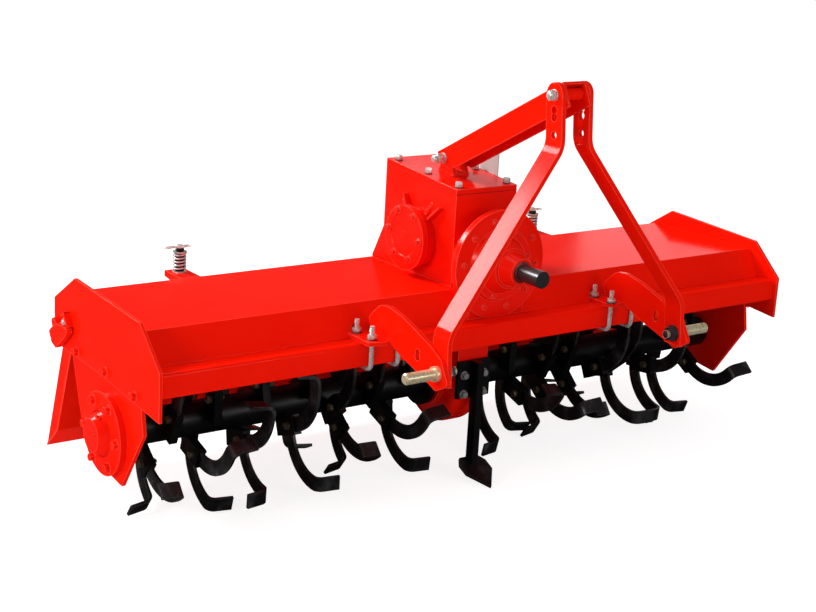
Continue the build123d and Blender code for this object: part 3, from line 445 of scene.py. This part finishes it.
def world():
    """White to the camera, soft grey light for the object, and a dim ceiling in its gloss."""
    made = bpy.data.worlds.new("studio")
    bpy.context.scene.world = made
    made.use_nodes = True
    tree = made.node_tree
    tree.nodes.clear()
    new, link = tree.nodes.new, tree.links.new
    seen, place, split = (new(kind) for kind in (
        "ShaderNodeLightPath", "ShaderNodeTexCoord", "ShaderNodeSeparateXYZ"))
    link(place.outputs["Generated"], split.inputs[0])
    # Mirrored rays see the white background low down, and a dim studio ceiling above it
    ceiling = new("ShaderNodeMapRange")
    for socket, value in (("From Min", 0.02), ("From Max", 0.14), ("To Min", 1.0), ("To Max", 0.09)):
        ceiling.inputs[socket].default_value = value
    link(split.outputs["Z"], ceiling.inputs["Value"])
    ambient = background(tree, 0.42)
    mirrored = background(tree, ceiling.outputs["Result"])
    white = background(tree, 1.0)
    either = new("ShaderNodeMath")
    either.operation = "MAXIMUM"
    link(seen.outputs["Is Glossy Ray"], either.inputs[0])
    link(seen.outputs["Is Transmission Ray"], either.inputs[1])
    first, second, out = new("ShaderNodeMixShader"), new("ShaderNodeMixShader"), new("ShaderNodeOutputWorld")
    link(either.outputs[0], first.inputs[0])
    link(ambient, first.inputs[1])
    link(mirrored, first.inputs[2])
    link(seen.outputs["Is Camera Ray"], second.inputs[0])
    link(first.outputs[0], second.inputs[1])
    link(white, second.inputs[2])
    link(second.outputs[0], out.inputs["Surface"])


def lamp(name, place, target, size, power):
    """Square soft light at a place, aimed at a target, that the camera doesn't see."""
    data = bpy.data.lights.new(name, "AREA")
    data.shape, data.size, data.energy = "SQUARE", size, power
    made = bpy.data.objects.new(name, data)
    made.location = place
    made.rotation_mode = "QUATERNION"
    made.rotation_quaternion = (Vector(target) - Vector(place)).to_track_quat("-Z", "Y")
    made.visible_camera = False
    bpy.context.scene.collection.objects.link(made)


CAMERA_PLACE = (-2604.8, -3117.0, 1658.8)    # in the machine datum
HEADING, TILT, ROLL = -0.630625735857939, 0.27654141611636407, 0.05630551760590567    # radians
SENSOR, LENS = 36.0, 70.69


def camera():
    """Where the photograph was taken from."""
    heading = (math.sin(HEADING), -math.cos(HEADING))
    back = Vector((heading[0] * math.cos(TILT), heading[1] * math.cos(TILT), math.sin(TILT)))
    right = (-back).cross(Z).normalized()
    up = right.cross(-back)
    side = math.cos(ROLL) * right + math.sin(ROLL) * up
    top = -math.sin(ROLL) * right + math.cos(ROLL) * up
    data = bpy.data.cameras.new("camera")
    data.sensor_width, data.lens = SENSOR, LENS
    data.clip_end = 100
    made = bpy.data.objects.new("camera", data)
    turn = Matrix((side, top, back)).transposed().to_4x4()
    made.matrix_world = Matrix.Translation(at(*CAMERA_PLACE)) @ turn
    bpy.context.scene.collection.objects.link(made)
    bpy.context.scene.camera = made


floor()
world()
camera()
# Name, place, target, size and power, in metres and watts
for row in (
    ("left", (-4.4, -0.6, 1.9), (0, 0, 0.5), 1.1, 78),
    ("front", (1.2, -4.6, 1.7), (0, 0, 0.5), 1.6, 50),
    ("top", (-0.4, 1.6, 4.2), (0, 0, 0.4), 3.2, 60),
    ("rim", (-2.3, 3.3, 3.15), (-0.25, -0.4, 0.7), 1.2, 235),
    ("card", (3.2, 4.3, 3.2), (0, 0.1, 0.85), 1.3, 6),
    ("side", (5.2, 3.7, 1.7), (0.5, 0, 0.5), 2.2, 12),
):
    lamp(*row)
bpy.context.scene.view_settings.view_transform = "Standard"


# ------------------------------------------------------------------ hardware
COVER_RISE = 26.0     # of the gearbox cover from its front edge to its rear edge
COVER_T = 14.0        # the gasket's seam is under it
FINS = ((60, 78, 114), (139, 78, 140))    # each fin's angle in degrees and the radii where it starts and ends
RING_FACE = 50.0      # y of the input ring's front face
RING_BACK = 68.0      # y of its back face, where the studs stand
STUDS_R = 127.0
NO_STUDS = (210, 330)    # degrees between which the skirt takes up the studs' place


def cover_hardware():
    """Six cover bolts, and the gasket's seam under the cover."""
    low, high = in_mm(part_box("gearbox_cover"))
    front, rear, top = low.y, high.y, high.z
    rise = COVER_RISE / (rear - front)
    lean = Vector((0, -rise, 1)).normalized()
    bolts = Piece("cover_bolts", ZINC, "zinc")
    dark = Piece("cover_washers", DARK, "zinc")
    for x in (-80, 80):
        for y in (front + 20, front + 157, rear - 28):
            place = facing(at(x, y, top - (rear - y) * rise), lean, 0.2 * x + 0.1 * y)
            dark.washer(place, 10.5, 2)
            bolts.hexagon(place, 17.5, 12.5, 2)
    bolts.done()
    dark.done()
    gasket = Piece("cover_gasket", SEAM, "red_paint")
    seam, out = top - COVER_T, 0.5
    x = high.x + out
    rim = [(-x, front - out), (x, front - out), (x, rear + out), (-x, rear + out)]
    gasket.rings(Matrix.Translation(DATUM), [
        [(px, py, seam - (rear - py) * rise + dz) for px, py in rim] for dz in (-0.9, 0.9)
    ])
    gasket.done()


def side_cover(side, node, small, fins):
    """Rim, boss, bolts and fins of one side bearing of the gearbox."""
    low, high = in_mm(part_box(node))
    outer = max(abs(low.x), abs(high.x))
    _, y, z = (low + high) / 2
    rim = facing(at(side * outer, y, z), X * side)
    edge = [(79, -9), (81.5, -8), (81.5, -0.5), (79.5, 1.5), (60, 1.5), (57.5, -0.4)]
    small.lathe(rim, edge, 72, (False, False))
    small.lathe(rim, [(57.5, -0.4), (12, -0.4), (10, 1.6), (0.1, 1.8)], 48, (False, True))
    for k in range(6):
        spot = at(side * (outer + 1.5), *round_x(y, z, 69, math.radians(5 + 60 * k)))
        small.bolt(facing(spot, X * side, 0.3 * k), 13, 7, 9.5)
    wall = in_mm(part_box("gearbox_cover"))[1].x - 4
    for angle, near, far in FINS:
        a = math.radians(angle)
        radial, across = Vector((0, math.cos(a), math.sin(a))), Vector((0, -math.sin(a), math.cos(a)))
        base, tall = side * wall * X, side * X
        foot, tip = base + radial * near, base + radial * far
        line = [foot, tip, tip + tall * 21, foot + tall * 23]
        skin = [[p + across * w for p in line] for w in (-2.2, -1.5, 1.5, 2.2)]
        fins.rings(Matrix.Translation(at(0, y, z)), skin)


def gearbox_hardware():
    """Cover bolts and gasket, bolts and fins of the side bearings, bolts and seal of the input ring."""
    cover_hardware()
    small = Piece("gearbox_bolts", RED_CAST, "red_paint")
    fins = Piece("gearbox_fins", RED_CAST, "red_paint")
    for side, word in SIDES:
        side_cover(side, "gearbox_side_cover_" + word, small, fins)
    z = joint_mm("input_spin").z
    for k in range(10):
        a = math.radians(-4 + 36 * k)
        spot = at(121 * math.cos(a), RING_FACE, z + 121 * math.sin(a))
        small.bolt(facing(spot, -Y, 0.4 * k), 13, 7, 9.5)
    for k in range(6):
        a = math.radians(12 + 60 * k)
        spot = at(84 * math.cos(a), 38, z + 84 * math.sin(a))
        small.bolt(facing(spot, -Y, 0.4 * k), 11, 6, 8)
    for k in range(10):
        degrees = 7 + 36 * k
        if NO_STUDS[0] < degrees < NO_STUDS[1]:
            continue
        a = math.radians(degrees)
        spot = at(STUDS_R * math.cos(a), RING_BACK, z + STUDS_R * math.sin(a))
        place = facing(spot, Y, 0.4 * k)
        small.bolt(place, 15, 8, 10)
        small.thread(place, 4.6, 9, 24)
    seal = facing(at(0, -41, z), -Y)
    small.lathe(seal, [(36, -2), (36.5, 0), (35, 2), (29, 2.4), (27.5, 0.5)], 48, (False, False))
    small.done()
    fins.done()
    lip = Piece("input_seal", DARK, "black_plastic")
    lip.lathe(seal, [(27.5, 0), (27, 1.6), (24.6, 2.2), (23.6, 0.6)], 48, (False, False))
    lip.done()


HUB_LENGTH = 29.0     # of the bearing cover, outside the flange that its bolts stand on
END_BOLTS = ((430, 416), (266, 411), (107, 400))    # (y, z)
END_SEAM = ((84, 377), (150, 382.5), (306, 394.5), (380, 396), (466, 397.5))    # (y, z) of the weld's points
STOP = (466, 491)     # (y, z) of the clip above the board's ear
STOP_PUSH = Vector((0, 0.81, -0.586))     # way that its bolt points
STOP_ALONG = Vector((0, 0.586, 0.81))


def bearing_hardware(side, word, red):
    """Rim, bolts and grease nipple of one rotor bearing."""
    face = max(abs(v.x) for v in in_mm(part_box("bearing_cover_" + word))) - HUB_LENGTH
    out = X * side
    for k in range(6):
        spot = at(side * face, *round_x(ROTOR.y, ROTOR.z, 86, math.radians(60 * k)))
        red.bolt(facing(spot, out, 0.5 * k), 19, 12, 13)
    centre = facing(at(side * face, ROTOR.y, ROTOR.z), out)
    rim = [(105.6, -2), (105.6, -0.6), (103, 1.4), (72, 1.6), (68, 3.5), (59, 4.2)]
    red.lathe(centre, rim, 80, (False, False))
    a = math.radians(112)
    nipple = at(side * (face + 15), *round_x(ROTOR.y, ROTOR.z, 52, a))
    grease = facing(nipple, out + Vector((0, math.cos(a), math.sin(a))))
    red.lathe(grease, [(5, -4), (5, 5), (3.2, 6), (3.2, 9), (4, 10.5), (4, 12.5), (2.4, 14.5)], 16)


def stop_hardware(side, plate_x, red, zinc):
    """Bent clip above the board's ear, and the stop bolt through it."""
    clip = Matrix((X * side, STOP_ALONG, STOP_PUSH)).transposed().to_4x4()
    clip.translation = at(side * plate_x, *STOP)
    red.slab(clip, [(-2, -21), (15, -21), (18, -18), (18, 18), (15, 21), (-2, 21)], 6, 1.2)
    red.slab(clip @ Matrix.Translation((0, 0.018, 0)), [(-2, -3), (18, -3), (18, 3), (-2, 3)], 16, 1.0)
    spot = facing(at(side * (plate_x + 10.5), *STOP), STOP_PUSH, 0.3)
    zinc.washer(spot, 10, 2, 6)
    zinc.thread(spot, 4.8, 7, 14)
    zinc.lathe(spot, [(8.6, 12), (9.2, 13), (9.2, 22.6), (8.4, 24), (6, 24.5)], 24)


def end_hardware():
    """Bearing hardware, end plate bolts and weld, and the small stop above each board ear."""
    red = Piece("end_bolts", RED, "red_paint")
    zinc = Piece("stop_bolts", ZINC, "zinc")
    welds = Piece("end_welds", RED_CAST, "red_paint")
    for side, word in SIDES:
        bearing_hardware(side, word, red)
        out = X * side
        plate_x = max(abs(v.x) for v in in_mm(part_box("end_plate_" + word)))
        for y, z in END_BOLTS:
            red.bolt(facing(at(side * plate_x, y, z), out, 0.01 * y), 19, 12, 14)
            red.thread(facing(at(side * (plate_x - 18), y, z), -out), 5.8, 0, 9)
        stop_hardware(side, plate_x, red, zinc)
        welds.weld([(side * (plate_x - 8), y, z) for y, z in END_SEAM])
    red.done()
    zinc.done()
    welds.done(60)


CAD_NUT_R = 10.0      # of the plain nuts on the CAD's U-bolts, which set the bolts' box
PIN_SHOULDER = 28.0   # from the hitch pin's inner end to the seat of its nut
LINK_SEATS = (("top_link_bolt_low", 37.0), ("top_link_bolt_high", 50.0))    # and x of the bolts' seats


def hitch_hardware():
    """Nuts and threads of the U-bolts, nuts of the lower pins, bolts of the top link."""
    zinc = Piece("u_bolt_nuts", ZINC, "zinc")
    dark = Piece("u_bolt_washers", DARK, "zinc")
    for side, word in SIDES:
        low, high = in_mm(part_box("u_bolts_" + word))
        seat = in_mm(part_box("saddle_plate_" + word))[1].z
        inner, outer = sorted((abs(low.x), abs(high.x)))
        for x in (inner + CAD_NUT_R, outer - CAD_NUT_R):
            for y in (low.y + CAD_NUT_R, high.y - CAD_NUT_R):
                place = facing(at(side * x, y, seat), Z, 0.3 * x + 0.2 * y)
                dark.washer(place, 13.5, 2.4)
                zinc.hexagon(place, 21, 10.5, 1.6)
                zinc.thread(place, 6.6, 11, 33.8)
    zinc.done()
    dark.done()

    nuts = Piece("pin_nuts", DARK, "yellow_zinc")
    for side, word in SIDES:
        low, high = in_mm(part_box("hitch_pin_" + word))
        _, y, z = (low + high) / 2
        inner = min(abs(low.x), abs(high.x))
        place = facing(at(side * (inner + PIN_SHOULDER), y, z), -X * side, 0.2)
        nuts.washer(place, 22.5, 3)
        nuts.hexagon(place, 36, 17.5, 1)
        nuts.thread(place, 11.6, 17, 28.6)
    nuts.done()

    for node, face in LINK_SEATS:
        low, high = in_mm(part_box(node))
        _, y, z = (low + high) / 2
        bolt = Piece(node + "_detail", ZINC, "zinc")
        for side, tip in ((-1, -low.x), (1, high.x)):
            place = facing(at(side * face, y, z), X * side, 0.3)
            reach = tip - face
            bolt.washer(place, 14.8, 3)
            bolt.washer(place, 12.5, 2.5, 3)
            if side < 0:
                nut = min(16.5, reach - 9)
                bolt.hexagon(place, 25, nut, 5.5)
                bolt.thread(place, 9, nut + 3, reach)
            else:
                bolt.hexagon(place, 24, reach - 5.5, 5.5)
        bolt.lathe(facing(at(-face, y, z), X), [(9, 0), (9, 2 * face)], 24)
        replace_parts(bolt.done(), node)


def clamp_hardware():
    """Four bolts on the front of the shank's clamp."""
    low, high = in_mm(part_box("shank_clamp"))
    bolts = Piece("clamp_bolts", DARK_ZINC, "zinc")
    for x in (-34, 32):
        for z in (high.z - 39, low.z + 12):
            bolts.bolt(facing(at(x, low.y, z), -Y, 0.1 * x + z), 17, 10, 12.5)
    bolts.done()


EYE_HALF = 8.0        # half the width of the rods' lower eyes, which set the rods' box
HAIRPIN_R = 2.0
# (x, y) of the hairpin clip's sprung leg, from the rod's axis
HAIRPIN_LEG = ((-27, -13), (-19, -9), (-13, -13), (-5, -17), (4, -17), (12, -13), (18, -9), (27, -14))


def rod_hardware():
    """Hairpin clips through the tops of the spring rods, and a washer and sleeves on each spring."""
    clips = Piece("rod_clips_detail", ZINC, "zinc", "lift_rods")
    washers = Piece("spring_washers", ZINC, "zinc", "lift_rods")
    sleeves = Piece("rod_sleeves", BLACK, "black_paint", "lift_rods")
    low, high = in_mm(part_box("rod_springs"))
    clip_low, clip_high = in_mm(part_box("rod_clips"))
    clip_z = ((clip_low + clip_high) / 2).z
    y, base, top = ((low + high) / 2).y, low.z, high.z
    rod = in_mm(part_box("lift_rods"))[1].x - EYE_HALF
    for side, _ in SIDES:
        x = side * rod
        washers.washer(facing(at(x, y, top - 2.6), Z), 19, 2.6)
        sleeve = facing(at(x, y, base), Z)
        sleeves.lathe(sleeve, [(12.4, 3), (13.4, 5), (13.4, top - base - 6), (12.4, top - base - 3)], 32)
        sleeves.lathe(facing(at(x, y, top), Z), [(11, -0.5), (12, 0.5), (12, 7), (10, 9)], 32)
        through = [(x + 27, y, clip_z), (x - 30, y, clip_z)]
        loop = [(x - 41 + 8 * math.cos(a), y - 8 + 8 * math.sin(a), clip_z)
                for a in (math.radians(90 + 20 * k) for k in range(13))]
        sprung = [(x + dx, y + dy, clip_z) for dx, dy in HAIRPIN_LEG]
        clips.bar(through + loop + sprung, lambda _: HAIRPIN_R)
    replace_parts(clips.done(60), "rod_clips")
    washers.done()
    sleeves.done()


def loose_parts(mesh):
    """Lists of vertex places, one for each closed solid of a mesh whose corners may be split."""
    group = list(range(len(mesh.vertices)))

    def root(k):
        while group[k] != k:
            group[k] = group[group[k]]
            k = group[k]
        return k

    seen = {}
    for vertex in mesh.vertices:
        key = tuple(round(c * 20000) for c in vertex.co)
        group[root(vertex.index)] = root(seen.setdefault(key, vertex.index))
    for edge in mesh.edges:
        group[root(edge.vertices[0])] = root(edge.vertices[1])
    parts = {}
    for vertex in mesh.vertices:
        parts.setdefault(root(vertex.index), []).append((vertex.co - DATUM) * 1000)
    return parts.values()


# (y, z) from the rotor's axis, in the one socket whose blade leg hangs straight down
SOCKET_CORNER = (84, -96)    # the corner farthest from the axis
BLADE_BOLT = (58, -70)


def rotor_hardware():
    """One bolt and nut through every blade socket, found from the sockets' own mesh."""
    bolts = Piece("blade_bolts", DULL, "zinc", "rotor")
    for part in loose_parts(frame["nodes"]["blade_sockets"].data):
        spots = [spot - ROTOR for spot in part]
        x = (min(s.x for s in spots) + max(s.x for s in spots)) / 2
        far = max(s.yz.length for s in spots)
        corner = next(s for s in spots if s.yz.length > far - 0.1)
        turn = math.atan2(corner.z, corner.y) - math.atan2(SOCKET_CORNER[1], SOCKET_CORNER[0])
        out, down = BLADE_BOLT
        y = out * math.cos(turn) - down * math.sin(turn)
        z = out * math.sin(turn) + down * math.cos(turn)
        spot = ROTOR + Vector((x, y, z))
        for side, head in ((-1, 9), (1, 10)):
            place = facing(at(spot.x + side * 11, spot.y, spot.z), X * side, turn)
            bolts.washer(place, 11, 1.8)
            bolts.hexagon(place, 18, head, 1.8)
            if side > 0:
                bolts.thread(place, 5.6, 11, 17)
    bolts.done()


gearbox_hardware()
end_hardware()
hitch_hardware()
clamp_hardware()
rod_hardware()
rotor_hardware()
